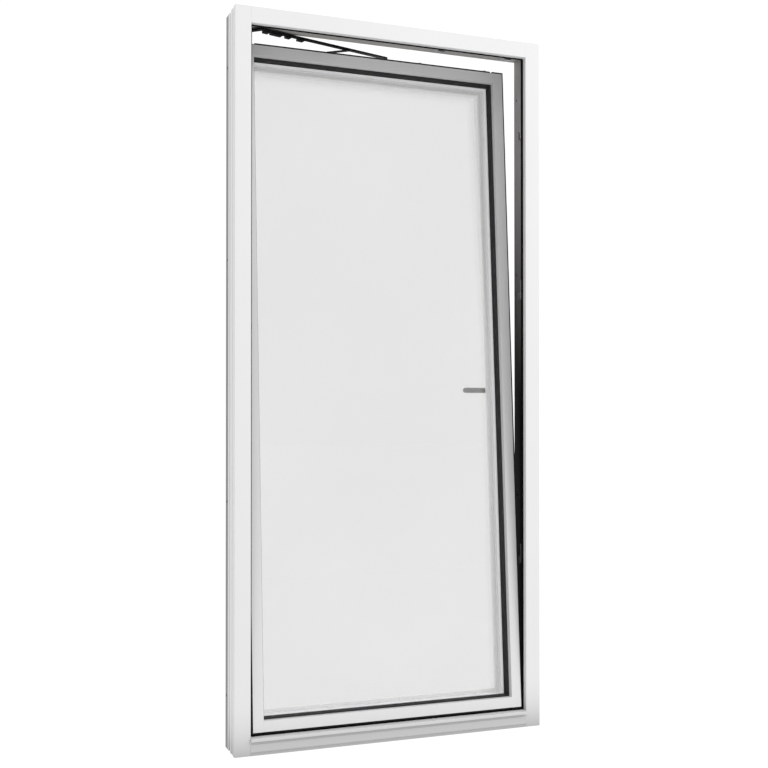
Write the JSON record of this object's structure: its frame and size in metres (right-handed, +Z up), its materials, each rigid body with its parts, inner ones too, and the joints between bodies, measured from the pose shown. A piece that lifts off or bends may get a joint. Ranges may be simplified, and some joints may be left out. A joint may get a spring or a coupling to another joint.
{
  "type": "tilt-and-turn window",
  "caption": "Tall inward-opening tilt-and-turn window with an aluminium-clad frame and sash, triple glazing, top stay and lever handle, resting tilted.",
  "frame": {"origin": "in the plane of the frame's outside face, at the frame's bottom, at mid-width", "axes": "+X to the right seen from outside, +Y into the room, +Z up"},
  "size_m": [0.948, 0.2497, 2.088],
  "materials": {
    "frame_cladding": "fine-texture matt powder coat",
    "frame_core": "moulded",
    "frame_liner": "stained dark, satin lacquer",
    "gasket": "extruded",
    "sash_cladding": "fine-texture matt powder coat",
    "sash_core": "moulded",
    "sash_wood": "white satin lacquer",
    "glass": "clear, low iron",
    "spacer": "warm-edge spacer, satin",
    "edge_seal": "polysulphide",
    "block": "moulded",
    "black_steel": "black passivated",
    "bright_steel": "zinc plated",
    "handle": "satin anodised"
  },
  "bodies": {
    "frame": {"jamb_cladding_left": "frame_cladding", "jamb_cladding_right": "frame_cladding", "head_cladding": "frame_cladding", "sill_nose": "frame_cladding", "sill_apron": "frame_cladding", "jamb_core_left": "frame_core", "jamb_core_right": "frame_core", "head_core": "frame_core", "sill_core": "frame_core", "jamb_liner_left": "frame_liner", "jamb_liner_right": "frame_liner", "head_liner": "frame_liner", "sill_liner": "frame_liner", "frame_gasket": "gasket", "keepers": "bright_steel", "keeper_screws": "bright_steel", "tilt_pivot_keeper": "bright_steel", "lower_bearing": "black_steel", "stay_bearing": "black_steel", "hinge_pins": "bright_steel", "bearing_screws": "bright_steel"},
    "hinge": {"hinge_knuckle": "black_steel", "tilt_pin": "bright_steel"},
    "sash": {"glazing_gasket_outer": "gasket", "glazing_gasket_inner": "gasket", "sash_cladding_left": "sash_cladding", "sash_cladding_right": "sash_cladding", "sash_cladding_top": "sash_cladding", "sash_cladding_bottom": "sash_cladding", "sash_core_left": "sash_core", "sash_core_right": "sash_core", "sash_core_top": "sash_core", "sash_core_bottom": "sash_core", "sash_wood_left": "sash_wood", "sash_wood_right": "sash_wood", "sash_wood_top": "sash_wood", "sash_wood_bottom": "sash_wood", "glazing_beads_upright": "sash_wood", "glazing_beads_cross": "sash_wood", "glass_outer": "glass", "glass_middle": "glass", "glass_inner": "glass", "glass_spacers": "spacer", "edge_seals": "edge_seal", "setting_blocks": "block", "hinge_bracket": "black_steel", "stay_guide": "black_steel", "bracket_screws": "bright_steel", "tilt_pivot_stub": "bright_steel", "lock_face_plate": "bright_steel", "gearbox": "bright_steel", "handle_rose": "handle"},
    "stay_arm": {"stay_arm": "black_steel", "arm_studs": "bright_steel"},
    "stay_link": {"stay_link": "black_steel"},
    "handle": {"handle_lever": "handle", "handle_spindle": "bright_steel"},
    "lock_stile": {"lock_rod_stile": "bright_steel", "lock_cams_stile": "bright_steel"},
    "lock_top": {"lock_rod_top": "bright_steel"}
  },
  "joints": [
    {"name": "sash_turn", "type": "hinge", "parent": "frame", "child": "hinge", "pos_m": [-0.454, 0.126, 0.05], "axis": [0, 0, 1], "range_deg": [0, 90]},
    {"name": "sash_tilt", "type": "hinge", "parent": "hinge", "child": "sash", "pos_m": [0, 0.06, 0.05], "axis": [-1, 0, 0], "range_deg": [-3.78, 0]},
    {"name": "stay_swing", "type": "hinge", "parent": "hinge", "child": "stay_arm", "pos_m": [-0.454, 0.126, 2.055], "axis": [0, 0, 1], "range_deg": [-15.12, 0]},
    {"name": "link_swing", "type": "hinge", "parent": "stay_arm", "child": "stay_link", "pos_m": [-0.09273, 0.15833, 2.052], "axis": [0, 0, 1], "range_deg": [0, 51.96]},
    {"name": "handle_turn", "type": "hinge", "parent": "sash", "child": "handle", "pos_m": [0.411, 0.18487, 1.0299], "axis": [0, 0.9978, -0.0659], "range_deg": [-90, 90]},
    {"name": "stile_rod_slide", "type": "slide", "parent": "sash", "child": "lock_stile", "axis": [0, 0.0659, 0.9978], "range_m": [-0.01801, 0.01801]},
    {"name": "top_rod_slide", "type": "slide", "parent": "sash", "child": "lock_top", "axis": [1, 0, 0], "range_m": [-0.01801, 0.01801]}
  ],
  "couplings": [
    {"joint": "stay_swing", "follows": "sash_tilt", "ratio": 3.9992},
    {"joint": "link_swing", "follows": "sash_tilt", "ratio": -13.744},
    {"joint": "stile_rod_slide", "follows": "handle_turn", "m_per_rad": 0.011459},
    {"joint": "top_rod_slide", "follows": "handle_turn", "m_per_rad": -0.011459}
  ]
}
